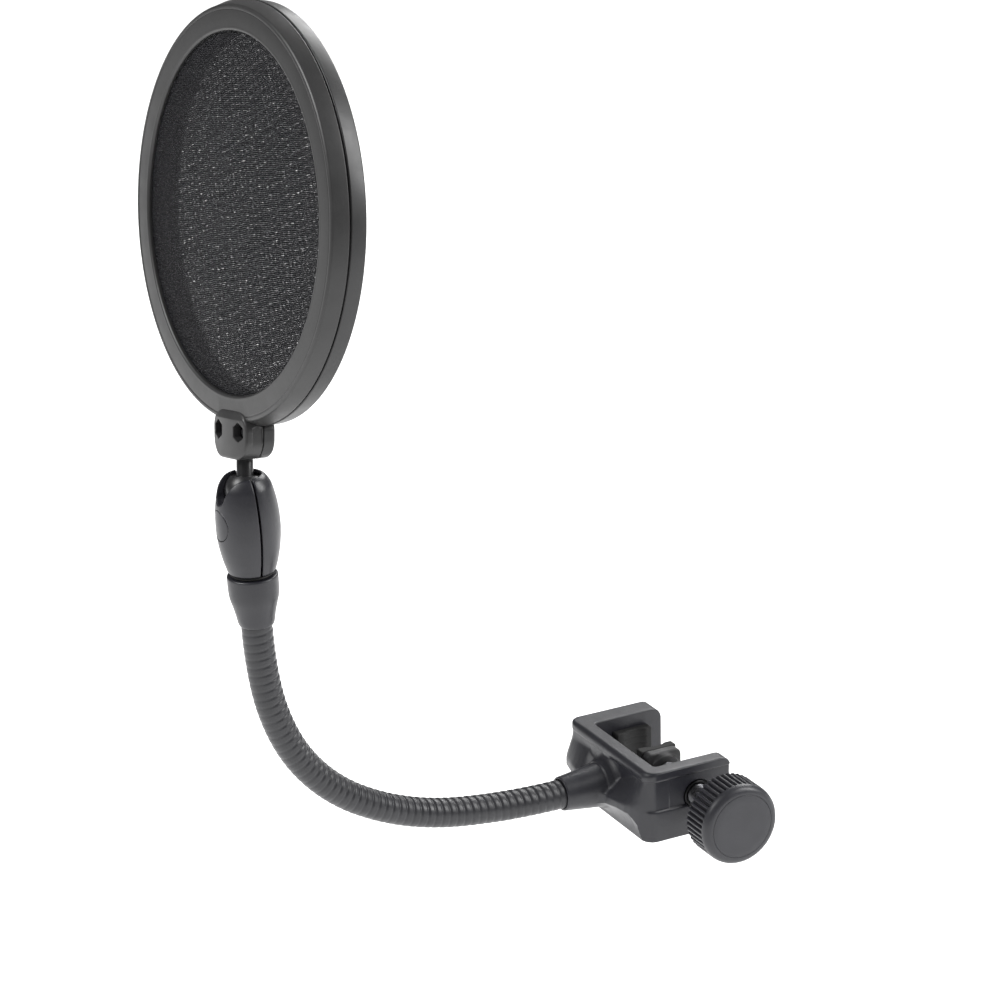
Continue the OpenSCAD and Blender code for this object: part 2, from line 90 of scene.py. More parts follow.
# ---------------------------------------------------------------- key places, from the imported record
FLEX = [mm(JOINT["neck_bend_%d" % k]["pos_m"]) for k in range(1, 8)]
BALL = mm(JOINT["head_fold"]["pos_m"])
TOP_Z = unit(V(JOINT["socket_swivel"]["axis"]))
STEM_Z = unit(V(JOINT["head_spin"]["axis"]))
BOSS_X = FLEX[0][0]
CLO, CHI = box_mm("clamp_body")
X0, X1 = CLO[0], CHI[0]
Y1 = CHI[1]
BOSS_END = CLO[1]
HALF = CHI[2]
Y0 = Y1 - 33.4                        # outer face of the spine
BOSS_Z = (box_mm("lower_ferrule")[0][2] + box_mm("lower_ferrule")[1][2]) / 2
ARM_L = box_mm("jaw_pad")[0][0]       # inner face of the fixed arm
ARM_R = box_mm("thread_insert")[1][0] - 5.6
SPINE = Y0 + 6.0
SCREW_Z = mm(JOINT["knob_turn"]["pos_m"])[2]
KLO, KHI = box_mm("knob")
KNOB_R = (KHI[2] - KLO[2]) / 2


def mesh_points(node):
    o = frame["nodes"][node]
    co = np.empty(len(o.data.vertices) * 3)
    o.data.vertices.foreach_get("co", co)
    return co.reshape(-1, 3) * 1000.0


# the hoop's frame: origin at its centre on the seam, z out of the front, y up the stem
_disc = mesh_points("front_mesh")
_c = (_disc.min(0) + _disc.max(0)) / 2
_n = np.linalg.svd(_disc - _disc.mean(0), full_matrices=False)[2][2]
if _n[1] > 0:
    _n = -_n
HOOP_N = unit(_n)
HOOP_Y = unit(STEM_Z - HOOP_N * (STEM_Z @ HOOP_N))
HOOP_X = np.cross(HOOP_Y, HOOP_N)
HOOP_C = _c - HOOP_N * 1.7
STEM_OFF = (BALL - HOOP_C) @ HOOP_N        # the stem's axis, in front of the seam
TOP_X = V((1, 0, 0))
TOP_Y = np.cross(TOP_Z, TOP_X)


def frame_of(x, y, z, o):
    m = np.eye(4)
    m[:3, 0], m[:3, 1], m[:3, 2], m[:3, 3] = x, y, z, o
    return m


M_HOOP = frame_of(HOOP_X, HOOP_Y, HOOP_N, HOOP_C)
M_TOP = frame_of(TOP_X, TOP_Y, TOP_Z, BALL)       # z = 0 at the ball's centre
M_STEM = frame_of(HOOP_X, -HOOP_N, HOOP_Y, BALL)
M_ID = np.eye(4)
COLLECTION = bpy.context.scene.collection


# ---------------------------------------------------------------- mesh helpers; all is in mm until made
def make(name, verts, faces, matrix=M_ID, smooth=True, angle=None):
    verts = np.asarray(verts, float)
    verts = (verts @ matrix[:3, :3].T + matrix[:3, 3]) / 1000.0
    me = bpy.data.meshes.new(name)
    me.from_pydata(verts.tolist(), [], [tuple(int(i) for i in f) for f in faces])
    me.validate()
    me.update()
    o = bpy.data.objects.new(name, me)
    COLLECTION.objects.link(o)
    finish_mesh(o, smooth, angle)
    return o


def finish_mesh(o, smooth=True, angle=None):
    bm = bmesh.new()
    bm.from_mesh(o.data)
    bmesh.ops.recalc_face_normals(bm, faces=bm.faces)
    if angle is not None:
        lim = math.radians(angle)
        for e in bm.edges:
            e.smooth = not (len(e.link_faces) == 2 and e.calc_face_angle(0) > lim)
    for f in bm.faces:
        f.smooth = smooth
    bm.to_mesh(o.data)
    bm.free()


def lathe(profile, n=256, closed=True):
    """Solid or ring of revolution about z from a closed (r, z) outline; points at r = 0 are shared."""
    verts, faces, rows = [], [], []
    for r, z in profile:
        if r < 1e-6:
            rows.append([len(verts)] * n)
            verts.append((0, 0, z))
        else:
            rows.append(list(range(len(verts), len(verts) + n)))
            for i in range(n):
                a = 2 * math.pi * i / n
                verts.append((r * math.cos(a), r * math.sin(a), z))
    m = len(profile)
    last = m if closed else m - 1
    for j in range(last):
        a, b = rows[j], rows[(j + 1) % m]
        if a[0] == a[1] and b[0] == b[1]:
            continue
        for i in range(n):
            k = (i + 1) % n
            q = [a[i], a[k], b[k], b[i]]
            q = [x for t, x in enumerate(q) if x not in q[:t]]
            if len(q) > 2:
                faces.append(q)
    return verts, faces


def arc(x, y, r, a0, a1, n=6):
    return [(x + r * math.cos(math.radians(a0 + (a1 - a0) * i / n)),
             y + r * math.sin(math.radians(a0 + (a1 - a0) * i / n))) for i in range(n + 1)]


def loft(rings, cap=True):
    """A tube through rings of equally many points, its ends closed with a fan."""
    n = len(rings[0])
    verts = [p for ring in rings for p in ring]
    faces = []
    for j in range(len(rings) - 1):
        for i in range(n):
            k = (i + 1) % n
            faces.append((j * n + i, j * n + k, (j + 1) * n + k, (j + 1) * n + i))
    if cap:
        for j in (0, len(rings) - 1):
            verts.append(tuple(np.mean(np.array(rings[j]), axis=0)))
            c = len(verts) - 1
            for i in range(n):
                faces.append((j * n + i, j * n + (i + 1) % n, c))
    return verts, faces


def boolean(a, b, op):
    """a op b, and b is removed."""
    mod = a.modifiers.new("b", "BOOLEAN")
    mod.operation = op
    mod.object = b
    mod.solver = "MANIFOLD"
    dg = bpy.context.evaluated_depsgraph_get()
    me = bpy.data.meshes.new_from_object(a.evaluated_get(dg))
    a.modifiers.clear()
    a.data = me
    bpy.data.objects.remove(b)
    return a


# ---------------------------------------------------------------- distance functions and surface nets
def smin(a, b, k):
    h = np.clip(0.5 + 0.5 * (b - a) / k, 0, 1)
    return b * (1 - h) + a * h - k * h * (1 - h)


def smax(a, b, k):
    return -smin(-a, -b, k)


def box2(x, y, x0, x1, y0, y1, r):
    cx, cy, hx, hy = (x0 + x1) / 2, (y0 + y1) / 2, (x1 - x0) / 2, (y1 - y0) / 2
    dx, dy = np.abs(x - cx) - hx + r, np.abs(y - cy) - hy + r
    return np.hypot(np.maximum(dx, 0), np.maximum(dy, 0)) + np.minimum(np.maximum(dx, dy), 0) - r


def slab(z, z0, z1):
    return np.abs(z - (z0 + z1) / 2) - (z1 - z0) / 2


def ext(d2, z, z0, z1, r):
    """A flat outline d2 given thickness, with its edges rounded by r."""
    d1 = slab(z, z0, z1)
    a, b = d2 + r, d1 + r
    return np.hypot(np.maximum(a, 0), np.maximum(b, 0)) + np.minimum(np.maximum(a, b), 0) - r


def surface_nets(f, lo, hi, h, passes=4):
    lo, hi = V(lo), V(hi)
    n = np.ceil((hi - lo) / h).astype(int) + 2
    lo = lo - h * 0.5003
    ax = [lo[i] + h * np.arange(n[i]) for i in range(3)]
    D = np.empty(n)
    for i0 in range(0, n[0], 24):
        g = np.meshgrid(ax[0][i0:i0 + 24], ax[1], ax[2], indexing="ij")
        P = np.stack([q.ravel() for q in g], 1)
        D[i0:i0 + 24] = f(P).reshape(g[0].shape)
    S = D < 0
    cnt = np.zeros(np.array(D.shape) - 1, np.int8)
    for a in (0, 1):
        for b in (0, 1):
            for c in (0, 1):
                cnt += S[a:n[0] - 1 + a, b:n[1] - 1 + b, c:n[2] - 1 + c]
    mixed = (cnt > 0) & (cnt < 8)
    idx = np.full(mixed.shape, -1)
    idx[mixed] = np.arange(mixed.sum())
    I = np.argwhere(mixed)
    acc, num = np.zeros((len(I), 3)), np.zeros(len(I))
    corners = [V((a, b, c)).astype(int) for a in (0, 1) for b in (0, 1) for c in (0, 1)]
    for a in corners:
        for k in range(3):
            if a[k] == 0:
                b = a.copy()
                b[k] = 1
                A, B = I + a, I + b
                da, db = D[A[:, 0], A[:, 1], A[:, 2]], D[B[:, 0], B[:, 1], B[:, 2]]
                m = (da < 0) != (db < 0)
                t = da[m] / (da[m] - db[m])
                p = np.repeat(a[None].astype(float), m.sum(), 0)
                p[:, k] = t
                acc[m] += p
                num[m] += 1
    verts = lo + h * (I + acc / num[:, None])
    faces = []
    for k in range(3):
        u, w = (k + 1) % 3, (k + 2) % 3
        s0 = [slice(None)] * 3
        s1 = [slice(None)] * 3
        s0[k], s1[k] = slice(0, n[k] - 1), slice(1, n[k])
        E = np.argwhere(S[tuple(s0)] != S[tuple(s1)])
        E = E[(E[:, u] > 0) & (E[:, w] > 0) & (E[:, u] < n[u] - 1) & (E[:, w] < n[w] - 1)]
        inside = S[E[:, 0], E[:, 1], E[:, 2]]
        q = []
        for du, dw in ((0, 0), (1, 0), (1, 1), (0, 1)):
            c = E.copy()
            c[:, u] -= du
            c[:, w] -= dw
            q.append(idx[c[:, 0], c[:, 1], c[:, 2]])
        q = np.stack(q, 1)
        q[inside] = q[inside][:, ::-1]
        faces.append(q)
    faces = np.concatenate(faces)
    # settle the points on the surface, and even them out along it
    e = 0.02
    nb_a = np.concatenate([faces[:, i] for i in range(4)])
    nb_b = np.concatenate([faces[:, (i + 1) % 4] for i in range(4)])
    for it in range(passes):
        if it:
            tot, deg = np.zeros_like(verts), np.zeros(len(verts))
            for a, b in ((nb_a, nb_b), (nb_b, nb_a)):
                for c in range(3):
                    tot[:, c] += np.bincount(a, verts[b, c], len(verts))
                deg += np.bincount(a, minlength=len(verts))
            mean = tot / np.maximum(deg, 1)[:, None]
            verts = verts + 0.5 * (mean - verts)
        d = f(verts)
        g = np.stack([(f(verts + e * ax3) - f(verts - e * ax3)) / (2 * e) for ax3 in np.eye(3)], 1)
        g2 = np.maximum((g * g).sum(1), 0.2)
        step = (d / g2)[:, None] * g
        ln = np.linalg.norm(step, axis=1)
        step *= np.minimum(1, 0.6 * h / np.maximum(ln, 1e-9))[:, None]
        verts = verts - step
    return verts, faces


def solid(name, f, lo, hi, h, matrix=M_ID, angle=None, passes=4):
    v, q = surface_nets(f, lo, hi, h * (1.0), passes)
    return make(name, v, q, matrix, True, angle)


# ---------------------------------------------------------------- pop screen
SEAT_R = 59.9
WIN_R = 56.9
HOOP_R = 66.8
FRONT_H, REAR_H = 5.6, 6.0
GRIP = 4.0                            # the gauze's distance from the seam


def hoop_profile(h, side_r, edge, inner, grip, seam=0.4, lip=0.0):
    """(r, z) outline of one shell: seam step, drafted wall, rounded edge, flat face, inner lip, seat."""
    pts = [(SEAT_R, 0.0), (HOOP_R - 0.75, 0.0), (HOOP_R - 0.72, 0.2)]
    pts += arc(HOOP_R - 0.4, seam + 0.25, 0.4, -70, 4, 5)
    pts += arc(side_r - edge, h - edge, edge, 3, 90, 9)
    if lip:
        # rolled lip round the outer edge, with a fine groove inside it
        g = side_r - edge - 0.55
        pts += [(g + 0.16, h - 0.02), (g + 0.08, h - 0.14), (g - 0.1, h - 0.17)]
        pts += [(g - 0.24, h - 0.1), (g - 0.42, h - 0.06)]
        pts += [(WIN_R + inner + 0.75, h - 0.06), (WIN_R + inner + 0.35, h - 0.04)]
    pts += arc(WIN_R + inner, h - inner, inner, 90, 180, 8)
    # groove that grips the gauze, then the seat of the spacer
    pts += [(WIN_R, grip + 0.2), (SEAT_R, grip + 0.2), (SEAT_R, grip - 0.2), (WIN_R, grip - 0.2)]
    pts += [(WIN_R, 2.05), (WIN_R + 0.1, 1.95), (SEAT_R, 1.95)]
    return pts


TAB_W, TAB_DROP, TAB_R = 11.2, 10.0, 6.4
SIN60 = 0.8660254                    # for the hexagonal pockets


def tab_front(p):
    x, y, z = p[:, 0], p[:, 1], p[:, 2]
    # a little narrower at its lower end, and crowned across
    w = TAB_W - 0.035 * np.clip(-y - HOOP_R, 0, 12)
    d2 = box2(x * (TAB_W / w), y, -TAB_W, TAB_W, -HOOP_R - TAB_DROP, -SEAT_R - 1.5, TAB_R)
    top = FRONT_H + 1.5 - (x / 11.0) ** 2 * 0.95
    fade = np.clip((-y - 60.0) / 4.0, 0, 1)
    top = 5.1 + (top - 5.1) * fade
    d = smax(d2, z - top, 0.9)
    d = np.maximum(d, 0.12 - z)
    # shallow panel in each side wall
    panel = np.maximum(np.abs(z - 2.2) - 1.7, np.abs(y + 69.5) - 3.6 + np.abs(z - 2.2) * 0.3)
    panel = np.maximum(np.abs(np.abs(x) - TAB_W - 0.2) - 0.55, panel)
    d = smax(d, -panel, 0.3)
    for s in (-1, 1):
        q, r = x - s * 6.5, y + HOOP_R + 1.1
        sides = np.maximum(np.abs(0.5 * q + SIN60 * r), np.abs(-0.5 * q + SIN60 * r))
        hexd = np.maximum(np.abs(q), sides) - 2.73
        d = smax(d, -np.maximum(hexd, 2.4 - z), 0.18)
        hole = np.hypot(q, r) - 1.35
        d = np.maximum(d, -hole)
    stem = np.maximum(np.hypot(x, z - STEM_OFF) - 2.75, y + 58.0)
    return np.maximum(d, -stem)


def tab_rear(p):
    x, y, z = p[:, 0], p[:, 1], -p[:, 2]
    w = TAB_W - 0.035 * np.clip(-y - HOOP_R, 0, 12)
    d2 = box2(x * (TAB_W / w), y, -TAB_W, TAB_W, -HOOP_R - TAB_DROP, -SEAT_R - 1.5, TAB_R)
    d2 = d2 + 0.04 * np.clip(z, 0, 9)
    d = smax(d2, z - 4.45, 1.2)
    d = np.maximum(d, 0.12 - z)
    for s in (-1, 1):
        q, r = x - s * 6.5, y + HOOP_R + 1.1
        d = smax(d, -np.maximum(np.hypot(q, r) - 2.5, 2.4 - z), 0.2)
        d = np.maximum(d, -(np.hypot(q, r) - 1.35))
    stem = np.maximum(np.hypot(x, z + STEM_OFF) - 2.75, y + 58.0)
    return np.maximum(d, -stem)


N_HOOP = 320
v, f = lathe(hoop_profile(FRONT_H, 65.3, 1.1, 0.9, GRIP, lip=1.0), N_HOOP)
hoop_front = make("hoop_front", v, f, M_HOOP)
tab = solid("tab_a", tab_front, (-12, -78, -0.3), (12, -60.8, 7.6), 0.24, M_HOOP)
boolean(hoop_front, tab, "UNION")
v, f = lathe([(r, -z) for r, z in hoop_profile(REAR_H, 66.4, 0.75, 0.9, GRIP)], N_HOOP)
hoop_rear = make("hoop_rear", v, f, M_HOOP)
tab = solid("tab_b", tab_rear, (-12, -78, -6.4), (12, -60.8, 0.3), 0.26, M_HOOP)
boolean(hoop_rear, tab, "UNION")
for o in (hoop_front, hoop_rear):
    finish_mesh(o, True, 32)


def gauze(name, z0, sign):
    """A drum-tight disc of gauze, 0.3 mm thick, with its rim inside the shell's groove."""
    n, rows = 120, 24
    top, faces = lathe([(59.6 * i / rows, z0 + sign * 0.2) for i in range(rows + 1)], n, closed=False)
    m = len(top)
    verts = list(top) + [(x, y, z - sign * 0.3) for x, y, z in top]
    allf = [tuple(q) for q in faces] + [tuple(reversed([i + m for i in q])) for q in faces]
    rim = list(range(1 + (rows - 1) * n, 1 + rows * n))
    for i in range(n):
        a, b = rim[i], rim[(i + 1) % n]
        allf.append((a, b, b + m, a + m))
    return make(name, verts, allf, M_HOOP, True, 40)


screen_front = gauze("screen_front", GRIP - 0.05, 1)
screen_rear = gauze("screen_rear", 0.05 - GRIP, -1)

# stem: plain shank with a chamfered foot and the neck that the tab closes on
prof = [(0, -4.2), (2.2, -4.2), (2.7, -3.7), (2.7, 9.6), (2.55, 9.9), (2.55, 10.6), (2.7, 10.9),
        (2.7, 14.45), (3.95, 14.5), (3.95, 16.3), (2.7, 16.35), (2.7, 17.4), (2.2, 17.8), (0, 17.8)]
v, f = lathe(prof, 64)
stem = make("stem_rod", v, f, M_STEM, True, 30)

# ---------------------------------------------------------------- clamshell socket, z = 0 at the ball
SOCK_L = 32.7
SOCK_Z1 = 5.3
SOCK_Z0 = SOCK_Z1 - SOCK_L
SOCK_MID = -11.3
SOCK_R = 10.4
BOLT_Z = -9.9


def sock_r(z):
    """Barrel, with a rounded shoulder above the ball."""
    return SOCK_R - 0.0105 * (z - SOCK_MID) ** 2 - 0.072 * np.clip(z - 1.1, 0, 5) ** 2


def sock_outside(x, y, z):
    r = np.hypot(x, y)
    d = (r - sock_r(z)) * 0.97
    d = smax(d, z - SOCK_Z1, 0.9)
    return smax(d, SOCK_Z0 - z, 0.7)


def sock_hollow(x, y, z):
    r = np.hypot(x, y)
    d = np.sqrt(r * r + z * z) - 6.56
    cone = np.maximum((r - 4.9 - 0.375 * (z - 4.1)) * 0.93, 4.1 - z)
    d = np.minimum(d, cone)
    d = np.minimum(d, np.maximum(r - 3.86, z + 18.0))
    d = np.minimum(d, np.maximum(r - 5.26, np.abs(z + 22.9) - 1.2))
    return np.minimum(d, np.hypot(x, z - BOLT_Z) - 2.1)


def socket_front_f(p):
    x, y, z = p[:, 0], p[:, 1], p[:, 2]
    d = sock_outside(x, y, z)
    d = smax(d, -sock_hollow(x, y, z), 0.25)
    # slot for the stem to lie down in: round at its foot and flaring towards the mouth
    hw = 2.95 + 0.3833 * np.clip(z, 0, 10)
    slot = np.where(z < 0, np.hypot(x, z) - 2.95, (np.abs(x) - hw) * 0.934)
    slot = np.maximum(slot, y)
    d = smax(d, -slot, 0.55)
    # seat of the round cap
    seat = np.maximum(np.hypot(x, z - BOLT_Z) - 5.16, y + 7.4)
    d = smax(d, -seat, 0.15)
    d = np.maximum(d, -np.maximum(np.hypot(x, z - BOLT_Z) - 3.9, y + 4.4))
    return smax(d, y + 0.34, 0.3)


def socket_rear_f(p):
    x, y, z = p[:, 0], p[:, 1], p[:, 2]
    d = sock_outside(x, y, z)
    d = smax(d, -sock_hollow(x, y, z), 0.25)
    q, r = x, z - BOLT_Z
    # the nut's pocket has a flat at the top and bottom
    sides = np.maximum(np.abs(SIN60 * q + 0.5 * r), np.abs(SIN60 * q - 0.5 * r))
    hexd = np.maximum(np.abs(r), sides) - 3.62
    d = smax(d, -np.maximum(hexd, 4.4 - y), 0.2)
    return smax(d, 0.34 - y, 0.3)


def cap_f(p):
    x, y, z = p[:, 0], p[:, 1], p[:, 2]
    d = np.hypot(x, y) - sock_r(z) + 0.06
    return np.maximum(smax(d * 0.97, np.hypot(x, z - BOLT_Z) - 5.05, 0.3), y + 7.45)


socket_a = solid("socket_half_front", socket_front_f,
                 (-10.8, -10.8, SOCK_Z0 - 0.5), (10.8, 0.2, SOCK_Z1 + 0.6), 0.24, M_TOP)
socket_b = solid("socket_half_rear", socket_rear_f,
                 (-10.8, -0.2, SOCK_Z0 - 0.5), (10.8, 10.8, SOCK_Z1 + 0.6), 0.26, M_TOP)
cap = solid("socket_plug", cap_f, (-5.6, -10.9, BOLT_Z - 5.6), (5.6, -7.2, BOLT_Z + 5.6), 0.22, M_TOP)

# washer in the gap, collar with its rolled lower edge
Z_TOP = -48.0     # the end of the gooseneck, seen from the ball
v, f = lathe([(3.85, Z_TOP + 19.42), (6.8, Z_TOP + 19.42)] + arc(6.75, Z_TOP + 19.92, 0.36, -60, 60, 5)
             + [(6.8, Z_TOP + 20.4), (3.85, Z_TOP + 20.4)], 96)
washer = make("gap_washer", v, f, M_TOP, True, 40)
prof = [(5.2, 2.45), (5.25, 2.15)] + arc(5.5, 2.25, 0.22, 200, 330, 6) + [(5.84, 2.5), (5.98, 2.9)]
prof += [(6.22, 4.2), (6.53, 5.9), (6.88, 7.4), (7.26, 8.9), (7.66, 10.3), (7.98, 11.5),
         (8.15, 12.7), (8.23, 14.0), (8.28, 15.4), (8.31, 17.0), (8.31, 18.4)]
prof += arc(7.71, 18.77, 0.6, 10, 90, 7) + [(6.06, 19.37), (6.06, 7.52), (5.2, 7.5)]
v, f = lathe([(r, z + Z_TOP) for r, z in prof], 128)
collar = make("collar_cone", v, f, M_TOP, True, 40)

# ---------------------------------------------------------------- ribbed sleeve of the gooseneck
NECK_R = 5.12
PITCH = 2.85
_pts = [V((BOSS_X, BOSS_END, BOSS_Z))] + FLEX + [BALL + TOP_Z * Z_TOP]


def link_axes():
    """Heading at each flex point, from the chords of the lengths between them."""
    heads = [0.0]
    for k in range(8):
        d = _pts[k + 1] - _pts[k]
        c = math.atan2(d[2], -d[1])
        heads.append(2 * c - heads[-1])
    return heads


HEADS = link_axes()
LINK = 159.0 / 8


def centre_at(s):
    """Centre, tangent and upward normal of the gooseneck at length s from the boss."""
    if s <= 0:
        h = HEADS[0]
        p = _pts[0] + V((0, 1, 0)) * (-s)
    elif s >= 159.0:
        h = HEADS[8]
        t = V((0, -math.cos(h), math.sin(h)))
        p = _pts[8] + t * (s - 159.0)
    else:
        k = min(int(s // LINK), 7)
        u = s - k * LINK
        b = HEADS[k + 1] - HEADS[k]
        h = HEADS[k] + b * u / LINK
        r = LINK / b
        h0 = HEADS[k]
        p = _pts[k] + V((0, -r * (math.sin(h) - math.sin(h0)), r * (math.cos(h0) - math.cos(h))))
    t = V((0, -math.cos(h), math.sin(h)))
    n = V((0, math.sin(h), math.cos(h)))
    return p, t, n


def curve_at(s):
    """Smoothed bend of the neck around s, for how deep its folds are."""
    a, b = centre_at(max(s - 8, 0.01))[1], centre_at(min(s + 8, 158.9))[1]
    return math.acos(max(-1, min(1, float(a @ b)))) / 16.0


def sleeve_piece(name, s0, s1):
    step = PITCH / 14
    n = 72
    cnt = max(2, int(math.ceil((s1 - s0) / step)))
    rings = []
    phi = np.arange(n) * 2 * math.pi / n
    for i in range(cnt + 1):
        s = s0 + (s1 - s0) * i / cnt
        p, t, nn = centre_at(s)
        ph = 2 * math.pi * (s / PITCH) + phi
        g = (0.5 + 0.5 * np.cos(ph)) ** 3
        inner = 0.5 + 0.5 * np.cos(phi)                  # 1 on the side the neck bends towards
        k = min(1.0, curve_at(s) / 0.012)
        depth = 0.1 + 0.34 * inner ** 1.3 * (0.55 + 0.45 * k)
        swell = 0.05 * inner * k * np.cos(ph + 0.9)
        r = NECK_R - depth * g + swell
        ring = p + np.outer(r * np.cos(phi), nn) + np.outer(r * np.sin(phi), V((1, 0, 0)))
        rings.append([tuple(q) for q in ring])
    v, f = loft(rings, True)
    return make(name, v, f, M_ID, True, 60)


# piece k crosses flex point k, and each meets the next in the middle of a length, in a fold
CUTS = [-3.8]
for k in range(1, 7):
    m = LINK * (k + 0.5)
    CUTS.append(round(m / PITCH) * PITCH)
CUTS.append(159.0 + 4.0)
sleeves = []
for k in range(7):
    o = sleeve_piece("sleeve_%d" % (k + 1), CUTS[k], CUTS[k + 1])
    sleeves.append(o)

# ---------------------------------------------------------------- clamp body
BOSS_L = Y0 - BOSS_END


FIN_A = [0, 4.7, 9.3, 15.4, 19.0, 21.5, 23.6, 24.8, 26.5, 30]


def clamp_f(p):
    x, y, z = p[:, 0], p[:, 1], p[:, 2]
    t = Y0 - y
    a = np.abs(x - BOSS_X)
    left = x < BOSS_X
    outer = box2(x, y, X0, X1, Y0, Y1 + 20, 4.4)
    mid = np.clip((x - X0) / 9.0, 0, 1)
    soft = np.where(z > 0, 0.9 + mid * np.interp(-t, [0, 6], [1.4, 0.0]), 0.5)
    d = ext(outer, z, -HALF, HALF, soft)
    d = smax(d, box2(y, z, -80, Y1, -HALF - 3.4, HALF, 4.2), 0.6)
    # panel under the rim, fading out past the boss
    sunk = 0.9 * np.clip((x - BOSS_X) / 10.0 + 0.4, 0, 1) - 0.02
    panel = np.maximum(-(outer + sunk), np.abs(z - 4.0) - 5.55)
    d = smax(d, -panel, 0.8)
    # web: slopes from the wall down and out to the fin's edge, and is hollowed out below it
    s = outer
    fade = np.interp(-t, [0, 3, 8], [1, 1, 0])
    er = np.interp(a, FIN_A, [6.9, 6.5, 5.5, 4.7, 4.0, 3.0, 1.7, 0.9, -0.3, -2.0])
    el = np.interp(a, FIN_A, [6.9, 6.5, 5.5, 4.7, 4.0, 3.4, 2.9, 2.6, 2.2, 1.9])
    e = np.where(left, (el + 1.2) * fade - 1.2, er)
    zt = np.where(left, np.interp(a, [0, 7, 12, 30], [3.5, 3.8, 8.6, 9.6]),
                  np.interp(a, [0, 7, 14, 20.5, 30], [3.0, 3.5, 6.9, 10.1, 10.4]))
    run = np.maximum(e + 0.9, 0.4)
    slope = (zt + 0.4) / run
    top = (z - (zt - slope * (s + 0.9))) / np.sqrt(1 + slope * slope)
    zb = np.where(left, np.interp(a, [0, 14, 20, 28], [-4.2, -3.2, -3.0, -3.0]),
                  np.interp(a, [0, 7, 14.7, 20.2, 22, 23.6, 24.2, 25],
                            [-4.2, -4.0, -3.0, -3.2, -4.6, -6.6, -9.5, -12.8]))
    foot_z = np.where(left, np.interp(a, [14, 24], [-12.9, -7.2]), -12.9)
    u = np.clip((z - foot_z) / np.maximum(zb - foot_z, 0.3), 0, 1)
    e0 = np.maximum(e, 0)
    under = e0 * u ** 2.1
    steep = 2.1 * e0 * u ** 1.1 / np.maximum(zb - foot_z, 0.3)
    out = np.where(z < zb, (s - under) / np.sqrt(1 + steep * steep), s - e)
    out = np.where(e < 0, s - e, out)
    fin = smax(smax(top, out, 0.4), foot_z - z, 0.4)
    fin = np.maximum(fin, -s - 2.2)
    fin = np.maximum(fin, y - Y0 - 9.0)
    fin = smax(fin, np.abs(z) - HALF + 0.5, 0.5)
    d = smin(d, fin, 0.55)
    # boss with its stepped root
    rr = np.hypot(x - BOSS_X, z - BOSS_Z)
    br = np.interp(t, [-4, 0, 1.2, 2.6, 3.3, 3.7, 10, BOSS_L], [10.2, 9.7, 9.0, 8.55, 8.3, 7.75, 7.0, 5.95])
    boss = smax((rr - br) * 0.97, t - BOSS_L, 0.5)
    boss = np.maximum(boss, -t - 4.0)
    d = smin(d, boss, 1.6)
    # jaw opening
    jaw = box2(x, y, ARM_L, ARM_R, SPINE, Y1 + 40, 1.5)
    d = smax(d, -jaw, 0.45)
    # bores
    d = smax(d, -np.maximum(rr - 5.3, BOSS_L - 4.0 - t), 0.2)
    d = np.maximum(d, -np.maximum(rr - 5.05, BOSS_L - 14.5 - t))
    ins = np.maximum(np.hypot(y, z - SCREW_Z) - 5.26, ARM_R - 1.0 - x)
    return smax(d, -ins, 0.25)


clamp = solid("clamp_casting", clamp_f,
              (X0 - 3.4, BOSS_END - 0.4, -HALF - 0.4), (X1 + 0.4, Y1 + 0.4, HALF + 0.4), 0.3)

# ---------------------------------------------------------------- pads, foot, insert
POLE_R = 7.95
JLO, JHI = box_mm("jaw_pad")
FLO, FHI = box_mm("foot_pad")
PLO, PHI = box_mm("pressure_foot")


def pad_f(x0, x1, r0, hy, hz):
    cx, hx = (x0 + x1) / 2, (x1 - x0) / 2

    def f(p):
        x, y, z = p[:, 0], p[:, 1], p[:, 2]
        q = np.stack([np.abs(x - cx) - hx + r0, np.abs(y) - hy + r0, np.abs(z) - hz + r0], 1)
        d = np.linalg.norm(np.maximum(q, 0), axis=1) + np.minimum(q.max(1), 0) - r0
        # grip lines down the channel and along the sides
        line = 0.16 * np.exp(-((((np.abs(z) + 1.25) % 2.5) - 1.25) / 0.28) ** 2)
        return smax(d, POLE_R + line - np.hypot(x, y), 0.3)
    return f


jaw_pad = solid("jaw_rubber", pad_f(JLO[0], JHI[0], 0.5, JHI[1], JHI[2]), JLO - 0.5, JHI + 0.5, 0.22)
foot_pad = solid("foot_rubber", pad_f(FLO[0], FHI[0], 0.5, FHI[1], FHI[2]), FLO - 0.5, FHI + 0.5, 0.22)


def foot_f(p):
    x, y, z = p[:, 0], p[:, 1], p[:, 2]
    d = ext(box2(y, z, -7, 7, -8, 8, 2.4), x, PLO[0], PHI[0] - 1.2, 0.7)
    r = np.hypot(y, z - SCREW_Z)
    hub = smax(r - 6.0 + 0.25 * (x - PHI[0] + 1.2), x - PHI[0], 0.5)
    hub = np.maximum(hub, PLO[0] + 1 - x)
    d = smin(d, hub, 0.8)
    d = np.maximum(d, -(r - 2.66))
    return np.maximum(d, -np.maximum(r - 4.6, x - PLO[0] - 3.0))


foot = solid("foot_block", foot_f, PLO - 0.4, PHI + 0.4, 0.25)
M_X = frame_of(V((0, 1, 0)), V((0, 0, 1)), V((1, 0, 0)), V((0, 0, SCREW_Z)))     # lathe axis along +X

ILO, IHI = box_mm("thread_insert")
xi0, xi1 = ILO[0], IHI[0]
bush = [(4.35, xi0), (6.3, xi0)] + arc(6.3, xi0 + 0.3, 0.3, -90, 0, 3)
bush += [(6.6, xi0 + 0.99), (5.2, xi0 + 1.0)]
bush += [(5.2, xi1 - 0.45), (4.9, xi1 - 0.05), (4.3, xi1 - 0.05), (4.02, xi1 - 0.35), (4.02, xi0 + 0.35)]
v, f = lathe(bush, 96)
insert = make("threaded_bush", v, f, M_X, True, 30)

